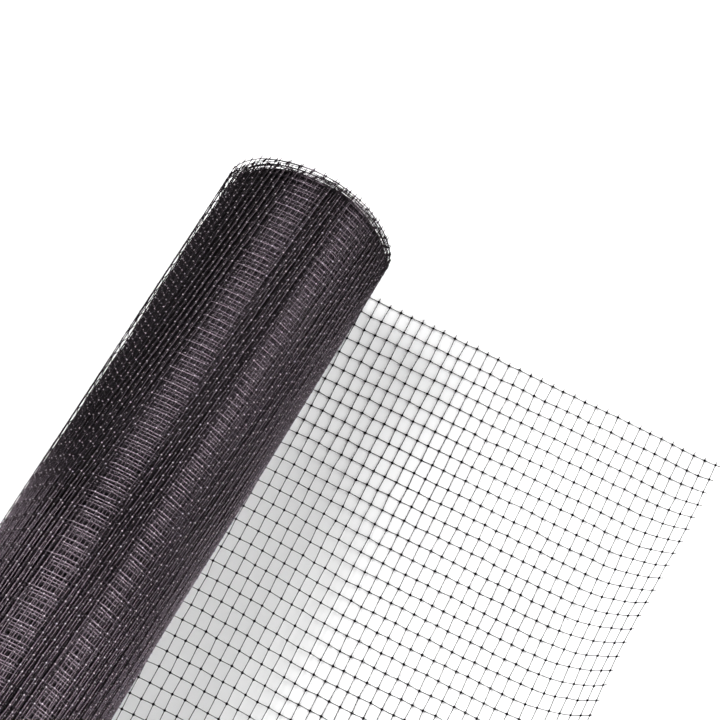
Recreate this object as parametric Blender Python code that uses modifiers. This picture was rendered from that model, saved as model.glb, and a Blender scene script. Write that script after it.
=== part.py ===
"""A roll of plastic mole netting with its free end laid out over the floor.

Metres, +Z up. The roll lies along Y and stands on a small flat spot. The net leaves it
underneath, towards +X, and runs over the floor a few degrees off square to the roll.
Its end has kept some of the roll's curl.
"""
import bpy
import bmesh
from math import atan2, ceil, cos, pi, radians, sin, sqrt
from mathutils import Vector

# Net: cell sizes along and across it, the net's width, and the stubs left by the cut edges
CELL_ALONG = 0.0175
CELL_ACROSS = 0.025
CELLS_ACROSS = 40
NET_WIDTH = CELL_ACROSS * CELLS_ACROSS
STUB = 0.0055

# The solid net has every second strand, each a flat bar
PITCH_ALONG = 2 * CELL_ALONG
PITCH_ACROSS = 2 * CELL_ACROSS
COLUMNS_CUT = 15
ROWS_CUT = CELLS_ACROSS // 2
BAR = 0.0018
NET_THICK = 0.0012

# Roll, with the eye and the line of its main turns sunk into both ends
ROLL_RADIUS = 0.1315
FAR_FACE = -0.0048
FLAT_HALF = 0.012
LAST_TURN_STEP = 0.0015
TAPER_ANGLE = radians(60)
OUTLINE_STEPS = 84
EYE_RADIUS = 0.026
END_RELIEF = 0.004
GROOVE_WIDTH = 0.004
GROOVE_TURNS = 6
GROOVE_SPACING = 0.014
RIM_WIDTH = 0.009

# Lie of the free end: its skew to the roll, where it ends, and the clear gap to the roll
SKEW = radians(3.31)
NET_END = 0.6773
GAP = 0.0003

# Curl of the end: its radius, and its length at the far corner and past the near part
CURL_RADIUS = 0.135
CURL_AT_CORNER = 0.028
CURL_GROWTH = 0.384
CURL_GROWS_OVER = 0.42

# Low hump beside the roll, and how finely the plain strip there follows it
HUMP_HEIGHT = 0.0308
HUMP_FROM = 0.20
HUMP_HALF_LENGTH = 0.35
HUMP_RISE = (0.03, 0.13)
HUMP_FALL = (0.13, 0.35)
STRIP_LINES = 8
STRIP_CROWDING = 1.2

# Height of the roll's axis above the floor
AXIS_HEIGHT = sqrt(ROLL_RADIUS ** 2 - FLAT_HALF ** 2)


def clear_scene():
    for obj in list(bpy.data.objects):
        bpy.data.objects.remove(obj, do_unlink=True)


def new_collection(name):
    collection = bpy.data.collections.new(name)
    bpy.context.scene.collection.children.link(collection)
    return collection


def plastic(name, colour, roughness):
    material = bpy.data.materials.new(name)
    material.use_nodes = True
    shader = material.node_tree.nodes["Principled BSDF"]
    shader.inputs["Base Color"].default_value = (*colour, 1.0)
    shader.inputs["Roughness"].default_value = roughness
    shader.inputs["Metallic"].default_value = 0.0
    return material


def poly_curve(name, points, closed, half_depth, fill):
    """A flat outline or line in the curve's own XY plane, given depth along its Z."""
    data = bpy.data.curves.new(name, "CURVE")
    data.dimensions = "2D"
    data.fill_mode = fill
    data.extrude = half_depth
    spline = data.splines.new("POLY")
    spline.points.add(len(points) - 1)
    for place, (x, y) in zip(spline.points, points):
        place.co = (x, y, 0.0, 1.0)
    spline.use_cyclic_u = closed
    return bpy.data.objects.new(name, data)


def lay_along_y(obj, middle):
    """Turn a curve so that its Y points up and its depth runs along the roll."""
    obj.rotation_euler = (pi / 2, 0.0, 0.0)
    obj.location = (0.0, middle, 0.0)


def as_mesh(curve_object, collection):
    """The curve's evaluated shape as a welded mesh object, in the same place."""
    collection.objects.link(curve_object)
    bpy.context.view_layer.update()
    evaluated = curve_object.evaluated_get(bpy.context.evaluated_depsgraph_get())
    mesh = bpy.data.meshes.new_from_object(evaluated)
    name = curve_object.name
    solid = bpy.data.objects.new(name + "_mesh", mesh)
    solid.matrix_world = curve_object.matrix_world.copy()
    bpy.data.objects.remove(curve_object, do_unlink=True)
    solid.name = name
    edit = bmesh.new()
    edit.from_mesh(mesh)
    bmesh.ops.remove_doubles(edit, verts=edit.verts, dist=1e-6)
    bmesh.ops.recalc_face_normals(edit, faces=edit.faces)
    edit.to_mesh(mesh)
    edit.free()
    collection.objects.link(solid)
    return solid


def make_cutter(obj):
    obj.hide_render = True
    obj.display_type = "WIRE"


def cut(target, cutter):
    modifier = target.modifiers.new("cut_" + cutter.name, "BOOLEAN")
    modifier.operation = "DIFFERENCE"
    modifier.solver = "EXACT"
    modifier.object = cutter


def roll_outline():
    """End view of the roll: the last turn starts at the flat spot and runs round clockwise."""
    low = atan2(-AXIS_HEIGHT, FLAT_HALF)
    start = -pi - low
    inner = ROLL_RADIUS - LAST_TURN_STEP
    end_drop = AXIS_HEIGHT - sqrt(inner ** 2 - FLAT_HALF ** 2)
    end = atan2(end_drop - AXIS_HEIGHT, FLAT_HALF) - 2 * pi
    points = [(FLAT_HALF, 0.0)]
    for step in range(OUTLINE_STEPS + 1):
        angle = start + (end - start) * step / OUTLINE_STEPS
        left = max(0.0, TAPER_ANGLE - (angle - end)) / TAPER_ANGLE
        radius = ROLL_RADIUS - LAST_TURN_STEP * left ** 2
        points.append((radius * cos(angle), AXIS_HEIGHT + radius * sin(angle)))
    return points


def groove_line():
    """Line of the turns on an end face, from the eye out to the rim."""
    inner = EYE_RADIUS - GROOVE_WIDTH
    outer = ROLL_RADIUS - RIM_WIDTH
    length = pi * GROOVE_TURNS * (inner + outer)
    steps = ceil(length / GROOVE_SPACING)
    points = []
    for step in range(steps + 1):
        radius = sqrt(inner ** 2 + (outer ** 2 - inner ** 2) * step / steps)
        angle = -2 * pi * GROOVE_TURNS * (radius - inner) / (outer - inner)
        points.append((radius * cos(angle), AXIS_HEIGHT + radius * sin(angle)))
    return points


def build_roll(material, parts, cutters):
    """The wound net as one solid, with the eye and its main turns sunk into both ends."""
    middle = FAR_FACE - NET_WIDTH / 2
    outline = poly_curve("net_roll", roll_outline(), True, NET_WIDTH / 2, "BOTH")
    lay_along_y(outline, middle)
    roll = as_mesh(outline, parts)
    roll.data.materials.append(material)
    for end, face in (("far", FAR_FACE), ("near", FAR_FACE - NET_WIDTH)):
        line = poly_curve("turns_" + end, groove_line(), False, END_RELIEF, "NONE")
        lay_along_y(line, face)
        groove = as_mesh(line, cutters)
        width = groove.modifiers.new("width", "SOLIDIFY")
        width.thickness = GROOVE_WIDTH
        width.offset = 0.0
        bpy.ops.mesh.primitive_cylinder_add(vertices=32, radius=EYE_RADIUS, depth=2 * END_RELIEF)
        eye = bpy.context.active_object
        eye.name = "eye_" + end
        for collection in list(eye.users_collection):
            collection.objects.unlink(eye)
        cutters.objects.link(eye)
        eye.rotation_euler = (pi / 2, 0.0, 0.0)
        eye.location = (0.0, face, AXIS_HEIGHT)
        for cutter in (groove, eye):
            make_cutter(cutter)
            cut(roll, cutter)
    return roll


def ease(value, low, high):
    """0 below low, 1 above high, smooth between."""
    t = min(max((value - low) / (high - low), 0.0), 1.0)
    return t * t * (3 - 2 * t)


def curl_length(across):
    """How much of the net's end has kept its curl, at a place across the net."""
    t = min(-across / CURL_GROWS_OVER, 1.0)
    t = max(t, 0.0)
    return CURL_AT_CORNER + CURL_GROWTH * CURL_GROWS_OVER * (t - t ** 3 / 3)


def net_place(along, across):
    """Underside of the net, along it from the roll's axis and across it from the far edge."""
    curled = max(0.0, along - NET_END + curl_length(across))
    turn = curled / CURL_RADIUS
    flat = along - curled + CURL_RADIUS * sin(turn)
    x = flat * cos(SKEW) - across * sin(SKEW)
    y = flat * sin(SKEW) + across * cos(SKEW)
    phase = min(max((-across - HUMP_FROM) / HUMP_HALF_LENGTH, 0.0), 2.0)
    hump = HUMP_HEIGHT * sin(pi / 2 * phase) ** 2
    hump *= ease(x, *HUMP_RISE) * (1 - ease(x, *HUMP_FALL))
    return Vector((x, y, CURL_RADIUS * (1 - cos(turn)) + hump))


def bar_edges(middles):
    """Both edges of each bar, in order."""
    return [middle + side * BAR / 2 for middle in middles for side in (-1, 1)]


def build_net(material, parts):
    """The laid-out net, cut through between its bars, with a plain strip beside the roll."""
    columns = [NET_END - PITCH_ALONG * (COLUMNS_CUT - k) for k in range(COLUMNS_CUT + 1)]
    rows = [-PITCH_ACROSS * k for k in range(ROWS_CUT + 1)][::-1]
    along = bar_edges(columns) + [NET_END + STUB]
    across = [rows[0] - STUB] + bar_edges(rows) + [STUB]
    roll_side = FLAT_HALF + GAP

    def place(column, row):
        """A grid line of the strip starts along the roll and swings round to the net's skew."""
        if column >= STRIP_LINES:
            return net_place(along[column - STRIP_LINES], across[row])
        start = (roll_side + across[row] * sin(SKEW)) / cos(SKEW)
        share = (column / STRIP_LINES) ** STRIP_CROWDING
        return net_place(start + (along[0] - start) * share, across[row])

    width, height = len(along) + STRIP_LINES, len(across)
    edit = bmesh.new()
    grid = {}
    for column in range(width):
        for row in range(height):
            grid[column, row] = edit.verts.new(place(column, row))
    for column in range(width - 1):
        for row in range(height - 1):
            in_strip = column < STRIP_LINES
            in_column = not in_strip and (column - STRIP_LINES) % 2 == 0
            in_row = row % 2 == 1
            edge_row = row in (0, height - 2)
            last = column == width - 2
            keep = not edge_row if in_strip else (in_column and not last) or in_row
            if keep:
                corners = ((0, 0), (1, 0), (1, 1), (0, 1))
                edit.faces.new([grid[column + a, row + b] for a, b in corners])
    bmesh.ops.delete(edit, geom=[v for v in edit.verts if not v.link_faces], context="VERTS")
    mesh = bpy.data.meshes.new("loose_net")
    edit.to_mesh(mesh)
    edit.free()
    net = bpy.data.objects.new("loose_net", mesh)
    mesh.materials.append(material)
    parts.objects.link(net)
    thick = net.modifiers.new("thickness", "SOLIDIFY")
    thick.thickness = NET_THICK
    thick.offset = 1.0
    return net


def centre_on_origin(parts, cutters):
    """Carry everything on one empty, so that the pieces' shared box is centred over the origin."""
    bpy.context.view_layer.update()
    graph = bpy.context.evaluated_depsgraph_get()
    corners = [obj.matrix_world @ Vector(corner)
               for obj in parts.objects for corner in obj.evaluated_get(graph).bound_box]
    low = [min(corner[axis] for corner in corners) for axis in (0, 1)]
    high = [max(corner[axis] for corner in corners) for axis in (0, 1)]
    carrier = bpy.data.objects.new("placing", None)
    for obj in list(parts.objects) + list(cutters.objects):
        obj.parent = carrier
    parts.objects.link(carrier)
    carrier.location = (-(low[0] + high[0]) / 2, -(low[1] + high[1]) / 2, 0.0)


def main():
    clear_scene()
    parts = new_collection("roll_of_mole_netting")
    cutters = new_collection("cutters")
    roll_plastic = plastic("wound_net", (0.020, 0.014, 0.019), 0.45)
    net_plastic = plastic("loose_net", (0.016, 0.013, 0.015), 0.40)
    build_roll(roll_plastic, parts, cutters)
    build_net(net_plastic, parts)
    centre_on_origin(parts, cutters)


main()
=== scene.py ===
"""Looks of the roll of mole netting: strands, knots, cut stubs and wound turns.

Metres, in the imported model's frame. The net is one long sheet. A place on it is given by
how far it lies along the net and how far across it from the far edge, and is then laid on
the floor or wound round the roll. Rows run along the net, and columns run across it.
"""
from math import cos, pi, radians, sin, sqrt, tan

import bpy
import numpy as np
from mathutils import Matrix, Vector


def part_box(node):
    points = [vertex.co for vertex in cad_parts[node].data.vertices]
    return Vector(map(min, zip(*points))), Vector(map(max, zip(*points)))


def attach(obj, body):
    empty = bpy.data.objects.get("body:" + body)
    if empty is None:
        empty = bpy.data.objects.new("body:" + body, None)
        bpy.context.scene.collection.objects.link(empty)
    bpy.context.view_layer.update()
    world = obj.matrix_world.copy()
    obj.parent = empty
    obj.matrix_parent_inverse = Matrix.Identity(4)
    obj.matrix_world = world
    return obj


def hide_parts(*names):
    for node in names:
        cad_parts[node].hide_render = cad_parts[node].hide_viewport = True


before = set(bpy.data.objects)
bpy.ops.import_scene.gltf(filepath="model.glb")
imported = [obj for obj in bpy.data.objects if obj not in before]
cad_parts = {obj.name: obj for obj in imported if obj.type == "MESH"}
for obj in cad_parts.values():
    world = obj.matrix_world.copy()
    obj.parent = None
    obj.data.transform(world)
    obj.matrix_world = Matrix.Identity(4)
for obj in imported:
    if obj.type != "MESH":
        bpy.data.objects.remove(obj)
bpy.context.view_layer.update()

ROLL_LOW, ROLL_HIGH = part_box("net_roll")

# Net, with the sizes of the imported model
CELL_ALONG = 0.0175
CELL_ACROSS = 0.025
CELLS_ACROSS = 40
NET_WIDTH = CELL_ACROSS * CELLS_ACROSS
NET_END = 0.6773
SKEW = radians(3.31)

# Laid-out net: its last column, and how far out its far row lies
LAST_COLUMN_ON_FLOOR = 38
EDGE_ROW_OUT = 0.0025

# Strands: their thickness, and how much of it they have at a knot and halfway between two
ROW_STRAND = 0.00119
COLUMN_STRAND = 0.00110
WOUND_STRAND = 0.00122
THICK_AT_KNOT = 1.12
THICK_BETWEEN = 0.92

# Knots: length along the net, width across it and height, and how far off their places they lie
KNOT = (0.0046, 0.0044, 0.0028)
WOUND_KNOT = (0.0031, 0.0029, 0.0024)
KNOT_JITTER = 0.00045

# Step along and across the net that shows which way it runs at a knot
NUDGE = 0.0008

# Cut stubs: their length, and the least and most of it on rows, on columns and on the end faces
STUB = 0.0055
ROW_STUBS = (0.9, 1.35)
COLUMN_STUBS = (0.75, 1.15)
END_STUBS = (0.6, 1.1)

# Height of the laid-out net, and the low waves in it away from the roll
LIE_HEIGHT = 0.00075
WAVE_HEIGHT = 0.0016
WAVE_RISE = (0.03, 0.10)

# Curl of the free end and the low hump beside the roll
CURL_RADIUS = 0.135
CURL_AT_CORNER = 0.028
CURL_GROWTH = 0.384
CURL_GROWS_OVER = 0.42
HUMP_HEIGHT = 0.0308
HUMP_FROM = 0.20
HUMP_HALF_LENGTH = 0.35
HUMP_RISE = (0.03, 0.13)
HUMP_FALL = (0.13, 0.35)

# Roll
ROLL_RADIUS = 0.1315
FLAT_HALF = 0.012
AXIS_HEIGHT = sqrt(ROLL_RADIUS ** 2 - FLAT_HALF ** 2)
FAR_FACE = -0.0048
LOOSE_RADIUS = ROLL_RADIUS - 0.0006
TURN_PITCH = 0.0005
SETTLE_LENGTH = 0.135
SKEW_LEFT_IN_ROLL = 0.875
SKEW_EASES_OVER = 0.4

# Tight turns at the far and near ends: radius and shift right, where these change, and the bed
TIGHT_RADIUS = (0.12575, 0.12895)
TIGHT_SHIFT = (0.00325, 0.00105)
TIGHT_CHANGES = (0.30, 0.65)
TIGHT_BED = 0.0015

# Slackness of the wound net, at these numbers of turns from its start
SLACK_AT = (0.0, 0.82, 1.05, 1.8, 2.05, 2.8, 3.1)
SLACKNESS = (1.0, 1.0, 0.35, 0.35, 0.12, 0.12, 0.0)
SLACK_SAG = 0.0004

# How far in the edge of each wound turn lies, from the outermost in
TURN_INSET = (0.0, 0.0054, 0.0092, 0.0147, -0.0001, 0.0056, 0.0108, 0.0166, -0.0032, 0.0030,
              0.0002, 0.0073, 0.0024, 0.0104)
WOUND_TURNS = len(TURN_INSET)
TURNS_BUILT = 10
TURN_TABLE_SIZE = 4000

# Cells in the outermost turn, roughly in each of the other built turns, and in those further in
OUTER_TURN_CELLS = 46.47
USUAL_TURN_CELLS = 44.35
DEEP_TURN_CELLS = (43.60, 43.35, 43.70, 43.25)

# Where the columns of each built turn show between those of the outermost, in shares of a cell
COLUMNS_SHOW_AT = (0.0, 0.5, 0.25, 0.75, 0.12, 0.62, 0.38, 0.88, 0.19, 0.69)

# Places where they show: round the roll from its top, and across the net
SHOWN_ROUND = np.radians((-38.0, -8.0, 12.0, 40.0))
SHOWN_ACROSS = (-0.06, -0.18, -0.30, -0.42)
SHOWN_FROM = radians(5)
SHOWN_STRETCH = (0.2, 0.8)
SHOWN_STEPS = 500

# Cell counts tried for a turn: their step, how many to each side, and the cost of a cell more or less
CELLS_STEP = 0.02
CELLS_STEPS = 45
CELLS_COST = 0.001

# Winding draws the net narrower or wider than it lies on the floor, from the far edge on
DRAWN_AT = (-0.02, 0.15, 0.22, 0.50, 0.72, 1.02)
DRAWN_TO = (0.900, 0.900, 0.944, 0.944, 1.071, 1.071)
DRAWN_WITHIN = 0.42
WIDTH_TABLE_SIZE = 800

# The turns stand out a little on one side of the far end, the inmost ones most
LEAN = 0.0035
CORE_LEAN = 0.0050
LEAN_AT = radians(22)
LEAN_NARROWNESS = 16
LEAN_FADES_OVER = 0.15

# Edges of turns further in: their shift to the near side, between these radians from the top
FRINGE_PITCH = 0.0004
FRINGE_DROP = 0.010
FRINGE_DROPS_FROM = (0.6, 1.1)
FRINGE_DROPS_UNTIL = (2.2, 3.0)

# The turned inside of the roll
CORE_INSET = 0.0060
CORE_STEPS = 24
CORE_SIDES = 96
CORE_SHARP_FROM = radians(40)
EYE_RADIUS = 0.026
EYE_DEPTH = 0.05

# Cut edges of the inner turns on the end faces
END_PITCH = 0.0016
END_CLEAR_OF_EYE = 0.001
END_PROUD = 0.0012
END_WANDER = 0.0022
END_STUB_ROOT = 0.006
END_STUB_THICK = 0.9

# The roll's axis and the net's far edge in the model's frame
ROLL_X = ROLL_LOW[0] + ROLL_RADIUS
FAR_Y = ROLL_HIGH[1] - FAR_FACE

# Unevenness: three slow waves, each in radians per metre along and across the net
SWAY = ((9.1, 3.7), (23.0, -11.0), (4.3, 17.0))
WINDING_WAVES, WIDTH_WAVES, RADIUS_WAVES, FLOOR_WAVES = range(4)
WINDING_WANDER = 0.0009
WIDTH_WANDER = 0.0007
RADIUS_WANDER = 0.0003
SLACK_RADIUS_WANDER = 0.0006
RADIUS_WAVE_PACE = 1.7

# Paleness of the columns, in place of glints that are too small for the picture
COLUMN_PALENESS = 0.016
# Deeper turns' columns paler still: painted light on turns that lie in shade
DEEP_COLUMN_PALENESS = 0.05

# Plastic: its dusty patches and fine grain, per metre, and how much each one shows
PATCH_SCALE = 38.0
PATCH_CONTRAST = 1.6
PATCH_START = 0.3
PATCH_ROUGHNESS = 0.1
GRAIN_SCALE = 900.0
GRAIN_SHARE = 0.25
PLUM_SHEEN = (1.0, 0.80, 0.95)
GREY_SHEEN = (1.0, 0.95, 0.98)

# Strands drawn on the turned inside: nets with the start of rows, of columns, and brightness
DEEP_NETS = ((0.1, 0.35, 1.0), (0.45, 0.7, 0.8), (0.75, 0.05, 0.6))
DEEP_ROW_PITCH = 0.0236
DEEP_RADIUS = 0.117
DEEP_HALF_STRAND = 0.0007
DEEP_SLANT = 0.04
DEEP_WOBBLE = 0.0030
DEEP_WOBBLE_SCALE = 30.0
# Colours of the turned inside: near black between the drawn strands as painted shade, lighter on them
DEEP_DARK = (0.0012, 0.001, 0.0012)
DEEP_LIGHT = (0.009, 0.007, 0.0085)
DEEP_START = 0.1
DEEP_GRAIN_SCALE = 420.0
DEEP_GRAIN_SHARE = 0.3
DEEP_GRAIN_RELIEF = 0.2
DEEP_ROUGHNESS = 0.45

# Floor and surroundings
FLOOR_REACH = 12.0
FLOOR_DROP = 0.0002
FLOOR_PALE = (0.86, 0.86, 0.86, 1.0)
WORLD_GLOW = 0.09

# Lights: degrees from upright, across the roll and along it, then distance and glow
LIGHTS = (("key", (-56.0, -39.0), (-45.0, 24.0), 4.0, 14.2),
          ("key_edge", (-39.0, -26.0), (-45.0, 24.0), 4.0, 3.7),
          ("fill", (8.0, 75.0), (-50.0, 50.0), 3.0, 2.12))

# Lights that show in reflections alone
GLEAMS = (("wide_gleam", (-35.0, -6.0), (-55.0, 15.0), 1.2, 33.0),
          ("narrow_gleam", (39.0, 54.0), (-55.0, 15.0), 1.2, 34.0),
          ("left_strip", (-60.0, 10.0), (25.0, 34.0), 3.0, 0.6),
          ("right_strip", (44.0, 80.0), (20.0, 38.0), 3.0, 25.0))

# Camera: its aim is measured from the roll's axis and the net's far edge
CAMERA_ELEVATION = radians(60.767)
CAMERA_AZIMUTH = radians(9.049)
CAMERA_TILT = radians(20.957)
CAMERA_AIM = (0.15412, 0.08797)
CAMERA_DISTANCE = 5.0451
CAMERA_SENSOR = 36.0
CAMERA_LENS = 175.0
CAMERA_REACH = 60.0

# Starts of the waves. All six sets are drawn and four used, so that later draws stay as they are
SEED = 7
rng = np.random.default_rng(SEED)
WAVES = rng.uniform(0.0, 2 * pi, (6, 3))


def ease(value, low, high):
    """0 below low, 1 above high, smooth between."""
    t = np.clip((value - low) / (high - low), 0.0, 1.0)
    return t * t * (3 - 2 * t)


def sway(along, across, waves):
    """Slow unevenness of the net, between -1 and 1."""
    starts = WAVES[waves]
    return sum(np.sin(along * a + across * b + start) for (a, b), start in zip(SWAY, starts)) / 3


def floor_place(along, across):
    """Middle of a strand of the laid-out net."""
    t = np.clip(-across / CURL_GROWS_OVER, 0.0, 1.0)
    curl = CURL_AT_CORNER + CURL_GROWTH * CURL_GROWS_OVER * (t - t ** 3 / 3)
    curled = np.maximum(0.0, along - NET_END + curl)
    turn = curled / CURL_RADIUS
    flat = along - curled + CURL_RADIUS * np.sin(turn)
    x = flat * cos(SKEW) - across * sin(SKEW)
    y = flat * sin(SKEW) + across * cos(SKEW)
    phase = np.clip((-across - HUMP_FROM) / HUMP_HALF_LENGTH, 0.0, 2.0)
    hump = HUMP_HEIGHT * np.sin(pi / 2 * phase) ** 2
    hump = hump * ease(x, *HUMP_RISE) * (1 - ease(x, *HUMP_FALL))
    wave = WAVE_HEIGHT * (1 + sway(along, across, FLOOR_WAVES)) * ease(x, *WAVE_RISE)
    z = CURL_RADIUS * (1 - np.cos(turn)) + hump + LIE_HEIGHT + wave
    return np.stack([x, y, z], axis=-1)


def turn_table(turn_cells):
    """Length of net wound up at each number of turns, with so many cells in each turn."""
    turns = np.linspace(0.0, WOUND_TURNS + 1.0, TURN_TABLE_SIZE)
    cells = np.array(turn_cells)[np.minimum(turns.astype(int), WOUND_TURNS - 1)]
    steps = np.diff(turns) * cells[:-1] * CELL_ALONG
    return turns, np.concatenate([[0.0], np.cumsum(steps)])


def width_table():
    """Where each line of the net comes to lie along the roll once it is wound."""
    inwards = np.linspace(DRAWN_AT[0], DRAWN_AT[-1], WIDTH_TABLE_SIZE)
    share = np.interp(inwards, DRAWN_AT, DRAWN_TO)
    steps = np.diff(inwards) * (share[1:] + share[:-1]) / 2
    drawn = np.concatenate([[0.0], np.cumsum(steps)])
    return inwards, drawn - np.interp(0.0, inwards, drawn)


INWARDS, DRAWN = width_table()


def turn_inset(turns):
    """How far in a turn lies. It is even over the top and changes on the underside."""
    quarters = np.arange(WOUND_TURNS)[:, None] + np.array([0.25, 0.75])
    return np.interp(turns, quarters.ravel(), np.repeat(TURN_INSET, 2))


def lean(angle, most):
    """How far a turn stands out of the far end, at an angle from the top."""
    return most * (0.5 + 0.5 * np.cos(angle - LEAN_AT)) ** LEAN_NARROWNESS


def lean_left(y):
    """How much of the lean is left this far in from the far end."""
    return 1 - ease(-y, 0.0, LEAN_FADES_OVER)


def tight_turns_at(y):
    """Radius of the tight turns, and how far right and how high their middle is."""
    near = ease(-y, *TIGHT_CHANGES)
    radius = TIGHT_RADIUS[0] + (TIGHT_RADIUS[1] - TIGHT_RADIUS[0]) * near
    shift = TIGHT_SHIFT[0] + (TIGHT_SHIFT[1] - TIGHT_SHIFT[0]) * near
    return radius, shift, radius + TIGHT_BED


def roll_place(along, across, winding):
    """Middle of a strand of the wound net. Some of the net's skew is taken up by the roll."""
    turns_at, wound_at = winding
    straight = -along * cos(SKEW)
    slant = 1 - (1 - SKEW_LEFT_IN_ROLL) * np.clip(straight / SKEW_EASES_OVER, 0.0, 1.0)
    wound = straight + across * sin(SKEW) * slant
    turns = np.interp(wound, wound_at, turns_at)
    slack = np.interp(turns, SLACK_AT, SLACKNESS)
    tight = 1 - slack
    wound = wound + WINDING_WANDER * sway(wound, across, WINDING_WAVES) * np.clip(turns, 0, 1)
    turns = np.interp(wound, wound_at, turns_at)
    angle = 2 * pi * turns
    drawn = ease(wound, 0.0, DRAWN_WITHIN)
    y = across / cos(SKEW) * (1 - drawn) - np.interp(-across, INWARDS, DRAWN) * drawn
    y = y + tan(SKEW) * SETTLE_LENGTH * (np.exp(-wound / SETTLE_LENGTH) - 1)
    y = y - turn_inset(turns) + WIDTH_WANDER * sway(wound, across, WIDTH_WAVES) * tight
    y = y + lean(angle - pi, LEAN) * lean_left(y)
    tight_radius, shift, tight_height = tight_turns_at(y)
    uneven = sway(wound * RADIUS_WAVE_PACE, across, RADIUS_WAVES)
    uneven = (RADIUS_WANDER + SLACK_RADIUS_WANDER * slack) * uneven - SLACK_SAG * slack
    radius = slack * LOOSE_RADIUS + tight * (tight_radius - TURN_PITCH * turns) + uneven
    x = shift * tight - radius * np.sin(angle)
    centre_z = slack * AXIS_HEIGHT + tight * tight_height
    z = np.maximum(centre_z - radius * np.cos(angle), LIE_HEIGHT)
    return np.stack([x, y, z], axis=-1)


def shown_columns(turn, winding):
    """Places along the net, counted in columns, that a turn has where the turns show."""
    turns = turn + np.linspace(*SHOWN_STRETCH, SHOWN_STEPS)
    line = -np.interp(turns, *winding) / cos(SKEW)
    along, across = np.meshgrid(line, SHOWN_ACROSS)
    place = roll_place(along, across, winding)
    right = place[..., 0] * cos(SHOWN_FROM) - (place[..., 2] - AXIS_HEIGHT) * sin(SHOWN_FROM)
    wanted = LOOSE_RADIUS * np.sin(SHOWN_ROUND - SHOWN_FROM)
    return np.array([np.interp(wanted, row, line) for row in right]) / CELL_ALONG


def column_miss(cells):
    """How far the columns of the last of these turns show from where they should."""
    turn = len(cells) - 1
    winding = turn_table(cells + [USUAL_TURN_CELLS] * (WOUND_TURNS - len(cells)))
    apart = shown_columns(0, winding) - shown_columns(turn, winding) - COLUMNS_SHOW_AT[turn]
    off = (apart + 0.5) % 1 - 0.5
    return (off ** 2).mean() + CELLS_COST * abs(cells[-1] - USUAL_TURN_CELLS)


def spread_cells():
    """Cells of each built turn that make the columns of all of them show evenly spread."""
    tried = USUAL_TURN_CELLS + CELLS_STEP * np.arange(-CELLS_STEPS, CELLS_STEPS + 1)
    tried = [round(float(count), 2) for count in tried]
    cells = [OUTER_TURN_CELLS]
    while len(cells) < TURNS_BUILT:
        misses = [column_miss(cells + [count]) for count in tried]
        cells.append(tried[int(np.argmin(misses))])
    return cells


TURN_CELLS = spread_cells() + list(DEEP_TURN_CELLS)
TURNS, WOUND = turn_table(TURN_CELLS)


def net_place(along, across):
    """On the floor right of the line where the roll stands, wound up left of it."""
    x = along * cos(SKEW) - across * sin(SKEW)
    on_floor = floor_place(along, across)
    on_roll = roll_place(along, across, (TURNS, WOUND))
    return np.where((x > 0)[..., None], on_floor, on_roll)


def fringe_place(along, across):
    """Where the edges of turns further in stand, bulged out at the roll's ends."""
    place = net_place(along, across)
    x, z = place[..., 0], place[..., 2] - AXIS_HEIGHT
    turns = np.interp(-along * cos(SKEW), WOUND, TURNS)
    radius = LOOSE_RADIUS - FRINGE_PITCH * (turns - TURNS_BUILT + 1)
    share = radius / np.hypot(x, z)
    height = np.maximum(z * share + AXIS_HEIGHT, LIE_HEIGHT)
    from_top = -np.arctan2(x, z)
    drop = FRINGE_DROP * ease(from_top, *FRINGE_DROPS_FROM)
    drop = drop * (1 - ease(from_top, *FRINGE_DROPS_UNTIL))
    return np.stack([x * share, place[..., 1] - drop, height], axis=-1)


def with_middles(values, axis):
    """Each run of values with one more halfway between every two."""
    values = np.moveaxis(values, axis, 0)
    full = np.empty((2 * len(values) - 1, *values.shape[1:]))
    full[0::2] = values
    full[1::2] = (values[1:] + values[:-1]) / 2
    return np.moveaxis(full, 0, axis)


def thickness(count, middles):
    """Share of its thickness at each point of a strand, with or without points between knots."""
    if not middles:
        return np.ones(count)
    return np.where(np.arange(count) % 2 == 0, THICK_AT_KNOT, THICK_BETWEEN)


def store(mesh, attribute, kind, values):
    """Keeps a value for each point of a mesh."""
    layer = mesh.attributes.new(attribute, kind, "POINT")
    layer.data.foreach_set("vector" if kind == "FLOAT_VECTOR" else "value", values)


class Lines:
    """Strands as points joined by edges."""

    def __init__(self):
        self.points, self.edges, self.thick, self.pale = [], [], [], []
        self.count = 0

    def line(self, places, thick, pale=0.0):
        """One strand through these places."""
        size = len(places)
        self.points.append(places)
        self.thick.append(np.broadcast_to(thick, size))
        self.pale.append(np.full(size, pale))
        ends = np.stack([np.arange(size - 1), np.arange(1, size)], axis=1)
        self.edges.append(ends + self.count)
        self.count += size

    def bare_mesh(self, name, loose_points=()):
        """The strands as edges, with any loose points after them."""
        points = np.concatenate([*self.points, *loose_points]) + np.array([ROLL_X, FAR_Y, 0.0])
        mesh = bpy.data.meshes.new(name)
        mesh.from_pydata(points.tolist(), np.concatenate(self.edges).tolist(), [])
        return mesh


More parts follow.
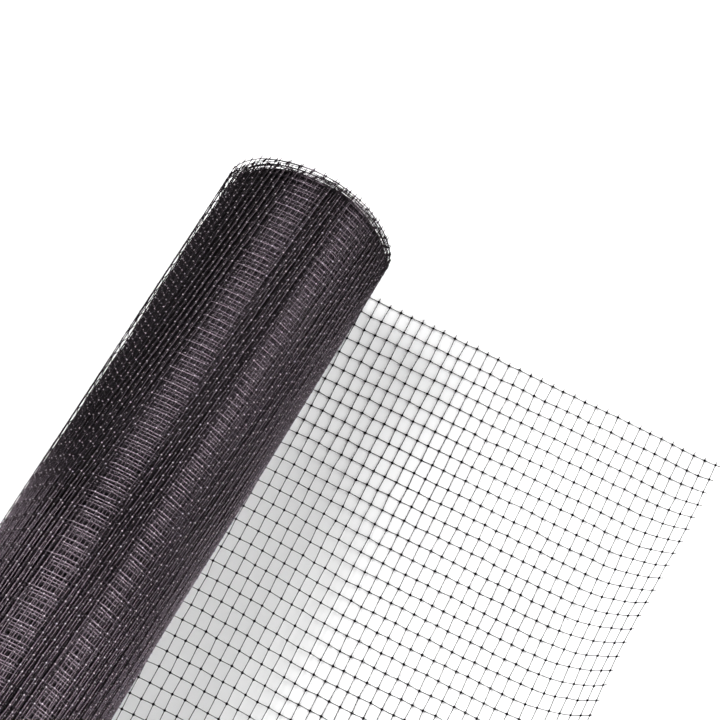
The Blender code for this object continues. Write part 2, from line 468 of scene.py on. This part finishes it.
class Net(Lines):
    """The strands and knots of a stretch of net, from its first column to its last."""

    def __init__(self, first, last, only_row=None):
        super().__init__()
        columns = NET_END - CELL_ALONG * np.arange(first, last + 1)
        rows = -CELL_ACROSS * np.arange(CELLS_ACROSS + 1, dtype=float)
        rows[0] += EDGE_ROW_OUT
        if only_row is not None:
            rows = rows[[only_row]]
        shape = (len(columns), len(rows))
        self.along = np.repeat(columns[:, None], shape[1], axis=1)
        self.across = np.repeat(rows[None, :], shape[0], axis=0)
        self.along += rng.normal(0.0, KNOT_JITTER, shape)
        self.across += rng.normal(0.0, KNOT_JITTER, shape)

    def strands(self, middles, place, end_stubs, paleness):
        """Rows, then columns. The columns' cut ends stand out past both edges of the net."""
        along, across = self.along, self.across
        if end_stubs:
            stub = STUB * rng.uniform(*ROW_STUBS, (1, along.shape[1]))
            along = np.concatenate([along[:1] + stub, along])
            across = np.concatenate([across[:1], across])
        if middles:
            along, across = with_middles(along, 0), with_middles(across, 0)
        thick = thickness(along.shape[0], middles)
        for row in place(along, across).swapaxes(0, 1):
            self.line(row, thick)
        far_stub, near_stub = STUB * rng.uniform(*COLUMN_STUBS, (2, self.along.shape[0]))
        along, across = self.along, self.across
        along = np.concatenate([along[:, :1], along, along[:, -1:]], axis=1)
        across = np.concatenate([across[:, :1] + far_stub[:, None], across,
                                 across[:, -1:] - near_stub[:, None]], axis=1)
        if middles:
            along, across = with_middles(along, 1), with_middles(across, 1)
        thick = thickness(along.shape[1], middles) * COLUMN_STRAND / ROW_STRAND
        for column in place(along, across):
            self.line(column, thick, paleness)

    def mesh(self, name, place):
        """The strands as edges, and a loose point for each knot with its run and its up."""
        centre = place(self.along, self.across)
        run = place(self.along + NUDGE, self.across) - centre
        side = place(self.along, self.across + NUDGE) - centre
        up = np.cross(run, side).reshape(-1, 3)
        run = run.reshape(-1, 3)
        knots = centre.reshape(-1, 3)
        # Knots that get the painted glint on their tops: all but those of the two edge rows
        knot_glint = np.ones(self.along.shape)
        knot_glint[:, [0, -1]] = 0.0
        flat_up = np.tile([0.0, 0.0, 1.0], (self.count, 1))
        flat_run = np.tile([1.0, 0.0, 0.0], (self.count, 1))
        mesh = self.bare_mesh(name, [knots])
        store(mesh, "thick", "FLOAT", np.concatenate([*self.thick, np.ones(len(knots))]))
        store(mesh, "knot_glint", "FLOAT", np.concatenate([np.zeros(self.count), knot_glint.ravel()]))
        store(mesh, "pale", "FLOAT", np.concatenate([*self.pale, np.zeros(len(knots))]))
        store(mesh, "knot", "BOOLEAN", np.arange(self.count + len(knots)) >= self.count)
        store(mesh, "up", "FLOAT_VECTOR", np.concatenate([flat_up, up]).ravel())
        store(mesh, "run", "FLOAT_VECTOR", np.concatenate([flat_run, run]).ravel())
        return mesh


class Nodes:
    """Adds nodes to a tree: a node's type, its settings, then its sockets' values or links."""

    def __init__(self, tree):
        self.tree = tree

    def add(self, kind, settings=None, sockets=None, output=0):
        node = self.tree.nodes.new(kind)
        for name, value in (settings or {}).items():
            setattr(node, name, value)
        for name, value in (sockets or {}).items():
            socket = node.inputs[name]
            value = getattr(value, "socket", value)
            if isinstance(value, bpy.types.NodeSocket):
                self.tree.links.new(value, socket)
            else:
                socket.default_value = value
        return node.outputs[output]


def net_tree():
    """Thickens the lines of a net into strands and sets a knot where they cross."""
    tree = bpy.data.node_groups.new("net_strands", "GeometryNodeTree")
    face = tree.interface
    face.new_socket("Lines", in_out="INPUT", socket_type="NodeSocketGeometry")
    face.new_socket("Net", in_out="OUTPUT", socket_type="NodeSocketGeometry")
    for name, kind in (("Strand Radius", "NodeSocketFloat"), ("Strand Sides", "NodeSocketInt"),
                       ("Knot Size", "NodeSocketVector"), ("Knot Sides", "NodeSocketInt"),
                       ("Knot Rings", "NodeSocketInt"), ("Plastic", "NodeSocketMaterial")):
        face.new_socket(name, in_out="INPUT", socket_type=kind)
    given = tree.nodes.new("NodeGroupInput").outputs
    nodes = Nodes(tree)

    def stored(name, kind):
        return nodes.add("GeometryNodeInputNamedAttribute", {"data_type": kind}, {"Name": name})

    # Strands
    lines = nodes.add("GeometryNodeMeshToCurve", None, {"Mesh": given["Lines"]})
    round_section = nodes.add("GeometryNodeCurvePrimitiveCircle", {"mode": "RADIUS"},
                              {"Resolution": given["Strand Sides"],
                               "Radius": given["Strand Radius"]})
    strands = nodes.add("GeometryNodeCurveToMesh", None,
                        {"Curve": lines, "Profile Curve": round_section,
                         "Scale": stored("thick", "FLOAT"), "Fill Caps": True})

    # One knot, 1 across, which keeps how near to its top or underside each point lies, where the
    # painted glint goes
    unit_radius, top_narrowness = 0.5, 3.0
    lump = nodes.add("GeometryNodeMeshUVSphere", None,
                     {"Segments": given["Knot Sides"], "Rings": given["Knot Rings"],
                      "Radius": unit_radius})
    place = nodes.add("GeometryNodeInputPosition")
    height = nodes.add("ShaderNodeSeparateXYZ", None, {"Vector": place}, output=2)
    height = nodes.add("ShaderNodeMath", {"operation": "ABSOLUTE"}, {0: height})
    height = nodes.add("ShaderNodeMath", {"operation": "MULTIPLY"},
                       {0: height, 1: 1 / unit_radius})
    on_top = nodes.add("ShaderNodeMath", {"operation": "POWER"}, {0: height, 1: top_narrowness})
    lump = nodes.add("GeometryNodeStoreNamedAttribute", {"data_type": "FLOAT", "domain": "POINT"},
                     {"Geometry": lump, "Name": "on_top", "Value": on_top})

    # Knots, each turned to the net around it
    upright = nodes.add("FunctionNodeAlignRotationToVector", {"axis": "Z"},
                        {"Vector": stored("up", "FLOAT_VECTOR")})
    turned = nodes.add("FunctionNodeAlignRotationToVector", {"axis": "X", "pivot_axis": "Z"},
                       {"Rotation": upright, "Vector": stored("run", "FLOAT_VECTOR")})
    knots = nodes.add("GeometryNodeInstanceOnPoints", None,
                      {"Points": given["Lines"], "Selection": stored("knot", "BOOLEAN"),
                       "Instance": lump, "Rotation": turned, "Scale": given["Knot Size"]})
    knots = nodes.add("GeometryNodeRealizeInstances", None, {"Geometry": knots})

    # Both together
    join = tree.nodes.new("GeometryNodeJoinGeometry")
    tree.links.new(strands, join.inputs[0])
    tree.links.new(knots, join.inputs[0])
    smooth = nodes.add("GeometryNodeSetShadeSmooth", None, {"Geometry": join.outputs[0]})
    coated = nodes.add("GeometryNodeSetMaterial", None,
                       {"Geometry": smooth, "Material": given["Plastic"]})
    result = tree.nodes.new("NodeGroupOutput")
    tree.links.new(coated, result.inputs["Net"])
    return tree


def grown(mesh, tree, inputs):
    """The mesh after one pass through a tree, as a plain mesh object."""
    name = mesh.name
    source = bpy.data.objects.new(name, mesh)
    bpy.context.scene.collection.objects.link(source)
    modifier = source.modifiers.new("grow", "NODES")
    modifier.node_group = tree
    for item in tree.interface.items_tree:
        if item.in_out == "INPUT" and item.name in inputs:
            modifier[item.identifier] = inputs[item.name]
    bpy.context.view_layer.update()
    graph = bpy.context.evaluated_depsgraph_get()
    plain = bpy.data.meshes.new_from_object(source.evaluated_get(graph))
    source.modifiers.remove(modifier)
    bpy.data.objects.remove(source)
    plain.name = name
    for attribute in [layer.name for layer in plain.attributes]:
        if attribute in ("thick", "knot", "up", "run"):
            plain.attributes.remove(plain.attributes[attribute])
    piece = bpy.data.objects.new(name, plain)
    bpy.context.scene.collection.objects.link(piece)
    return piece


class Value:
    """A shader socket that can be used in sums."""

    def __init__(self, finish, socket):
        self.finish = finish
        self.socket = socket

    def __add__(self, other):
        return self.finish.maths("ADD", self, other)

    def __radd__(self, other):
        return self.finish.maths("ADD", other, self)

    def __sub__(self, other):
        return self.finish.maths("SUBTRACT", self, other)

    def __rsub__(self, other):
        return self.finish.maths("SUBTRACT", other, self)

    def __mul__(self, other):
        return self.finish.maths("MULTIPLY", self, other)

    def __rmul__(self, other):
        return self.finish.maths("MULTIPLY", other, self)


class Finish(Nodes):
    """A material under construction."""

    def __init__(self, name):
        self.material = bpy.data.materials.new(name)
        self.material.use_nodes = True
        super().__init__(self.material.node_tree)
        self.shader = self.tree.nodes["Principled BSDF"]
        self.place = self.tree.nodes.new("ShaderNodeTexCoord").outputs["Object"]

    def value(self, kind, settings=None, sockets=None, output=0):
        return Value(self, self.add(kind, settings, sockets, output))

    def maths(self, operation, first, second):
        return self.value("ShaderNodeMath", {"operation": operation}, {0: first, 1: second})

    def noise(self, scale, detail=2.0):
        return self.value("ShaderNodeTexNoise", None,
                          {"Vector": self.place, "Scale": scale, "Detail": detail})

    def clamped(self, value):
        return self.value("ShaderNodeClamp", None, {"Value": value})

    def bump(self, height, strength, distance):
        return self.value("ShaderNodeBump", None,
                          {"Strength": strength, "Distance": distance, "Height": height})

    def between(self, low, high, share):
        """A colour between two others."""
        low, high = (end if isinstance(end, Value) else (*end, 1.0) for end in (low, high))
        return self.value("ShaderNodeMix", {"data_type": "RGBA"},
                          {"Factor": share, 6: low, 7: high}, output=2)

    def set(self, **sockets):
        """Gives the shader's sockets their values or links."""
        for name, value in sockets.items():
            socket = self.shader.inputs[name.replace("_", " ")]
            if isinstance(value, Value):
                self.tree.links.new(value.socket, socket)
            else:
                socket.default_value = value


def strand_plastic(name, dark, light, glint_colour, roughness, gloss, sheen):
    """Extruded plastic: near black, dusty in patches, with painted glints: lighter on the tops of the
    knots and along pale columns.
    """
    finish = Finish(name)
    patches = finish.noise(PATCH_SCALE, detail=3.0)
    grain = finish.noise(GRAIN_SCALE, detail=1.0)
    dust = finish.clamped(patches * PATCH_CONTRAST - PATCH_START + grain * GRAIN_SHARE)
    on_top, knot_glint, pale = (
        finish.value("ShaderNodeAttribute", {"attribute_name": attribute}, output=2)
        for attribute in ("on_top", "knot_glint", "pale"))
    plain = finish.between(dark, light, dust)
    # Painted glints: the base colour turns lighter on the knots' tops and along pale columns
    finish.set(Base_Color=finish.between(plain, glint_colour, on_top * knot_glint + pale),
               Roughness=patches * PATCH_ROUGHNESS + (roughness - PATCH_ROUGHNESS / 2),
               Normal=finish.bump(grain, strength=0.12, distance=0.0002),
               Specular_Tint=(*sheen, 1.0), Specular_IOR_Level=gloss)
    return finish.material


def dark_turns(name):
    """Turns too deep in the roll to be built: nearly black as painted shade deep in the roll, with
    the strands of a few nets.
    """
    finish = Finish(name)
    x, y, z = (finish.value("ShaderNodeSeparateXYZ", None, {"Vector": finish.place}, output=axis)
               for axis in range(3))
    wobble = finish.noise(DEEP_WOBBLE_SCALE) * DEEP_WOBBLE
    angle = finish.maths("ARCTAN2", x - (ROLL_X + TIGHT_SHIFT[1]),
                         z - (TIGHT_RADIUS[1] + TIGHT_BED))
    along_roll = (y + wobble) * (1 / DEEP_ROW_PITCH)
    around_roll = (angle * DEEP_RADIUS + y * DEEP_SLANT + wobble) * (1 / CELL_ALONG)
    strands = 0.0
    for row_start, column_start, brightness in DEEP_NETS:
        for place, pitch, start in ((along_roll, DEEP_ROW_PITCH, row_start),
                                    (around_roll, CELL_ALONG, column_start)):
            away = finish.maths("PINGPONG", place + start, 0.5) * (pitch / DEEP_HALF_STRAND)
            strands = finish.maths("MAXIMUM", (1.0 - away) * brightness, strands)
    grain = finish.noise(DEEP_GRAIN_SCALE)
    share = finish.clamped(strands + grain * DEEP_GRAIN_SHARE - DEEP_START)
    relief = strands + grain * DEEP_GRAIN_RELIEF
    finish.set(Base_Color=finish.between(DEEP_DARK, DEEP_LIGHT, share),
               Roughness=grain * DEEP_GRAIN_SHARE + DEEP_ROUGHNESS,
               Normal=finish.bump(relief, strength=0.5, distance=0.0006),
               Specular_IOR_Level=0.0)
    return finish.material


def fineness(sides, knot_sides, knot_rings, **others):
    """How finely a stretch of net is made. A wound one has the sizes given here."""
    return {"sides": sides, "knot_sides": knot_sides, "knot_rings": knot_rings,
            "strand": WOUND_STRAND, "knot": WOUND_KNOT, "middles": False,
            "paleness": COLUMN_PALENESS, **others}


def stretch_of_net(name, first, last, place, plastic, detail, end_stubs=False):
    """A stretch of net as a piece, from its first column to its last."""
    net = Net(first, last, detail.get("only_row"))
    net.strands(detail["middles"], place, end_stubs, detail["paleness"])
    inputs = {
        "Strand Radius": detail["strand"] / 2,
        "Strand Sides": detail["sides"],
        "Knot Size": detail["knot"],
        "Knot Sides": detail["knot_sides"],
        "Knot Rings": detail["knot_rings"],
        "Plastic": plastic,
    }
    return grown(net.mesh(name, place), NET_TREE, inputs)


def core_piece(plastic):
    """The turned inside of the roll: sides under the wound turns, both faces and the eye."""
    far = FAR_FACE - CORE_INSET
    near = FAR_FACE - NET_WIDTH + CORE_INSET
    under = TURN_PITCH * (TURNS_BUILT + 0.5)
    profile = [(0.0, far - EYE_DEPTH), (EYE_RADIUS, far - EYE_DEPTH), (EYE_RADIUS, far)]
    for step in range(CORE_STEPS + 1):
        y = far + (near - far) * step / CORE_STEPS
        profile.append((tight_turns_at(y)[0] - under, y))
    profile += [(EYE_RADIUS, near), (EYE_RADIUS, near + EYE_DEPTH), (0.0, near + EYE_DEPTH)]
    points, rings, faces = [], [], []
    for radius, y in profile:
        _, shift, height = tight_turns_at(y)
        ring = []
        for side in range(CORE_SIDES if radius else 1):
            angle = 2 * pi * side / CORE_SIDES
            out = lean(pi / 2 - angle, CORE_LEAN) * lean_left(y)
            ring.append(len(points))
            points.append((ROLL_X + shift + radius * cos(angle), FAR_Y + y + out,
                           height + radius * sin(angle)))
        rings.append(ring)
    for one, two in zip(rings, rings[1:]):
        for k in range(CORE_SIDES):
            corners = [one[k % len(one)], one[(k + 1) % len(one)],
                       two[(k + 1) % len(two)], two[k % len(two)]]
            faces.append(list(dict.fromkeys(corners)))
    mesh = bpy.data.meshes.new("wound_inside")
    mesh.from_pydata(points, [], faces)
    mesh.shade_smooth()
    mesh.set_sharp_from_angle(angle=CORE_SHARP_FROM)
    mesh.materials.append(plastic)
    piece = bpy.data.objects.new("wound_inside", mesh)
    bpy.context.scene.collection.objects.link(piece)
    return piece


def end_turns(name, face, outwards, plastic):
    """The cut edges of the inner turns on one end face, with their stubs."""
    tight_radius, shift, height = tight_turns_at(face)
    inner = EYE_RADIUS + END_CLEAR_OF_EYE
    outer = tight_radius - TURN_PITCH * TURNS_BUILT
    length = pi * (outer ** 2 - inner ** 2) / END_PITCH
    count = int(length / (CELL_ALONG / 2))
    radius = np.sqrt(inner ** 2 + (outer ** 2 - inner ** 2) * np.arange(count) / count)
    angle = -2 * pi * (radius - inner) / END_PITCH
    turn = (radius - inner) / END_PITCH
    whole_turns = np.arange(int(turn[-1]) + 3)
    wander = np.interp(turn, whole_turns, rng.normal(0.0, END_WANDER, len(whole_turns)))
    y = face + outwards * (END_PROUD + np.abs(wander))
    if outwards > 0:
        y = y + lean(pi / 2 - angle, CORE_LEAN)
    places = np.stack([shift + radius * np.cos(angle), y, height + radius * np.sin(angle)], axis=1)
    edges = Lines()
    edges.line(places, 1.0)
    for place in places[::2]:
        tip = place + [0, outwards * STUB * rng.uniform(*END_STUBS), 0]
        root = place - [0, outwards * END_STUB_ROOT, 0]
        edges.line(np.array([root, tip]), END_STUB_THICK)
    mesh = edges.bare_mesh(name)
    store(mesh, "thick", "FLOAT", np.concatenate(edges.thick))
    store(mesh, "knot", "BOOLEAN", np.zeros(edges.count, dtype=bool))
    inputs = {"Strand Radius": ROW_STRAND / 2, "Strand Sides": 3, "Knot Size": KNOT,
              "Knot Sides": 4, "Knot Rings": 2, "Plastic": plastic}
    return grown(mesh, NET_TREE, inputs)


NET_TREE = net_tree()
LOOSE_PLASTIC = strand_plastic(
    "loose_net_plastic", dark=(0.001, 0.001, 0.001), light=(0.005, 0.004, 0.005),
    glint_colour=(0.006, 0.005, 0.006), roughness=0.5, gloss=0.01, sheen=GREY_SHEEN)
# Copies of one plastic, darker from the outer turns in: painted shade of the turns further in, with
# dimmer painted glints
OUTER_PLASTIC = strand_plastic(
    "outer_turns_plastic", dark=(0.0035, 0.0028, 0.0033), light=(0.008, 0.0065, 0.0076),
    glint_colour=(0.34, 0.31, 0.33), roughness=0.17, gloss=0.5, sheen=PLUM_SHEEN)
SLACK_PLASTIC = strand_plastic(
    "slack_turns_plastic", dark=(0.003, 0.0024, 0.0029), light=(0.007, 0.0057, 0.0067),
    glint_colour=(0.20, 0.18, 0.193), roughness=0.17, gloss=0.5, sheen=PLUM_SHEEN)
TIGHT_PLASTIC = strand_plastic(
    "tight_turns_plastic", dark=(0.0014, 0.0011, 0.0013), light=(0.0045, 0.0037, 0.0043),
    glint_colour=(0.10, 0.09, 0.097), roughness=0.20, gloss=0.12, sheen=PLUM_SHEEN)
# Lighter copy on the cut edges of the end faces: painted light where the lamps hardly reach
END_PLASTIC = strand_plastic(
    "end_edges_plastic", dark=(0.012, 0.010, 0.0115), light=(0.030, 0.025, 0.0285),
    glint_colour=(0.10, 0.09, 0.097), roughness=0.25, gloss=0.35, sheen=PLUM_SHEEN)
CORE_PLASTIC = dark_turns("inmost_turns_plastic")

SHEET = fineness(6, 6, 4, middles=True, strand=ROW_STRAND, knot=KNOT)
FULL = fineness(6, 6, 4)
MEDIUM = fineness(5, 5, 4)
PLAIN = fineness(4, 5, 3)
DEEP = fineness(3, 4, 3, paleness=DEEP_COLUMN_PALENESS)
DEEPEST = fineness(3, 4, 2, paleness=DEEP_COLUMN_PALENESS)
FAR_EDGE = fineness(4, 5, 3, knot=KNOT, only_row=0)
NEAR_EDGE = fineness(4, 5, 3, knot=KNOT, only_row=CELLS_ACROSS)

# Pieces of wound net: name, turns at the start and at the end, fineness and plastic
STRETCHES = (("outer_turn", 0, 1, FULL, OUTER_PLASTIC),
             ("second_turn", 1, 2, MEDIUM, OUTER_PLASTIC),
             ("slack_turns", 2, 4, PLAIN, SLACK_PLASTIC),
             ("tight_turns", 4, 7, DEEP, TIGHT_PLASTIC),
             ("deep_turns", 7, TURNS_BUILT, DEEPEST, TIGHT_PLASTIC),
             ("far_edges", TURNS_BUILT, WOUND_TURNS, FAR_EDGE, TIGHT_PLASTIC),
             ("near_edges", TURNS_BUILT, WOUND_TURNS, NEAR_EDGE, TIGHT_PLASTIC))


def column_at(turns):
    """Number of the column that is reached after so many turns."""
    wound = np.interp(turns, TURNS, WOUND)
    return int(round((NET_END + wound / cos(SKEW)) / CELL_ALONG))


def laid_out_piece():
    """The laid-out net, in place of the model's loose net."""
    loose = stretch_of_net("laid_out_net", 0, LAST_COLUMN_ON_FLOOR, floor_place,
                           LOOSE_PLASTIC, SHEET, end_stubs=True)
    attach(loose, "root")
    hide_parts("loose_net")


def roll_pieces():
    """The wound turns from the outermost in, then the dark inside and both end faces."""
    pieces = []
    for name, start, end, detail, plastic in STRETCHES:
        first = column_at(start) if start else LAST_COLUMN_ON_FLOOR
        place = fringe_place if "only_row" in detail else net_place
        pieces.append(stretch_of_net(name, first, column_at(end), place, plastic, detail))
    pieces.append(core_piece(CORE_PLASTIC))
    pieces.append(end_turns("far_end_edges", FAR_FACE - CORE_INSET, 1, END_PLASTIC))
    pieces.append(end_turns("near_end_edges", FAR_FACE - NET_WIDTH + CORE_INSET, -1, END_PLASTIC))
    for piece in pieces:
        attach(piece, "root")
        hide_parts("net_roll")


def facing(place, side, top, back):
    """The transform of a lamp or camera, from its place and the ways its three sides face."""
    return Matrix.Translation(place) @ Matrix((side, top, back)).transposed().to_4x4()


def softbox(name, across, along, distance, glow, reflected):
    """A flat light over the roll that fills these angles from upright, across and along it."""
    middle = Vector((ROLL_X, FAR_Y - NET_WIDTH / 2, AXIS_HEIGHT))
    low, high = (tan(radians(angle)) for angle in along)
    turn = radians(sum(across) / 2)
    half = radians((across[1] - across[0]) / 2)
    size = (2 * distance * tan(half), distance * (high - low))
    light = bpy.data.lights.new(name, "AREA")
    light.shape = "RECTANGLE"
    light.size, light.size_y = size
    light.energy = glow * pi * size[0] * size[1]
    lamp = bpy.data.objects.new(name, light)
    back = Vector((sin(turn), 0.0, cos(turn)))
    side = Vector((0, 1, 0)).cross(back)
    centre = middle + back * distance + Vector((0, distance * (low + high) / 2, 0))
    lamp.matrix_world = facing(centre, side, back.cross(side), back)
    lamp.visible_camera = False
    lamp.visible_glossy = reflected
    lamp.visible_diffuse = not reflected
    bpy.context.scene.collection.objects.link(lamp)


def floor_and_light():
    """A plain pale floor, a dim even glow all round, and the lights over the roll."""
    floor = bpy.data.objects.new("floor", bpy.data.meshes.new("floor"))
    corners = [(-FLOOR_REACH, -FLOOR_REACH, 0), (FLOOR_REACH, -FLOOR_REACH, 0),
               (FLOOR_REACH, FLOOR_REACH, 0), (-FLOOR_REACH, FLOOR_REACH, 0)]
    floor.data.from_pydata(corners, [], [(0, 1, 2, 3)])
    floor.location.z = -FLOOR_DROP
    floor.visible_glossy = False
    bpy.context.scene.collection.objects.link(floor)
    paper = Finish("floor_paper")
    paper.set(Base_Color=FLOOR_PALE, Roughness=1.0, Specular_IOR_Level=0.0)
    floor.data.materials.append(paper.material)
    world = bpy.data.worlds.new("studio")
    world.use_nodes = True
    world.node_tree.nodes["Background"].inputs["Color"].default_value = (1, 1, 1, 1)
    world.node_tree.nodes["Background"].inputs["Strength"].default_value = WORLD_GLOW
    bpy.context.scene.world = world
    for light in LIGHTS:
        softbox(*light, reflected=False)
    for gleam in GLEAMS:
        softbox(*gleam, reflected=True)


def camera():
    """Where the photograph was taken from, solved from the knots of the laid-out net."""
    out = cos(CAMERA_ELEVATION)
    look_at = Vector((ROLL_X + CAMERA_AIM[0], FAR_Y - CAMERA_AIM[1], 0.0))
    back = Vector((sin(CAMERA_AZIMUTH) * out, -cos(CAMERA_AZIMUTH) * out, sin(CAMERA_ELEVATION)))
    right = Vector((0, 0, 1)).cross(back).normalized()
    up = back.cross(right)
    side = right * cos(CAMERA_TILT) + up * sin(CAMERA_TILT)
    top = up * cos(CAMERA_TILT) - right * sin(CAMERA_TILT)
    data = bpy.data.cameras.new("camera")
    data.sensor_width = CAMERA_SENSOR
    data.lens = CAMERA_LENS
    data.clip_end = CAMERA_REACH
    eye = bpy.data.objects.new("camera", data)
    eye.matrix_world = facing(look_at + back * CAMERA_DISTANCE, side, top, back)
    bpy.context.scene.collection.objects.link(eye)
    bpy.context.scene.camera = eye


laid_out_piece()
roll_pieces()
floor_and_light()
camera()
bpy.context.scene.view_settings.view_transform = "Standard"
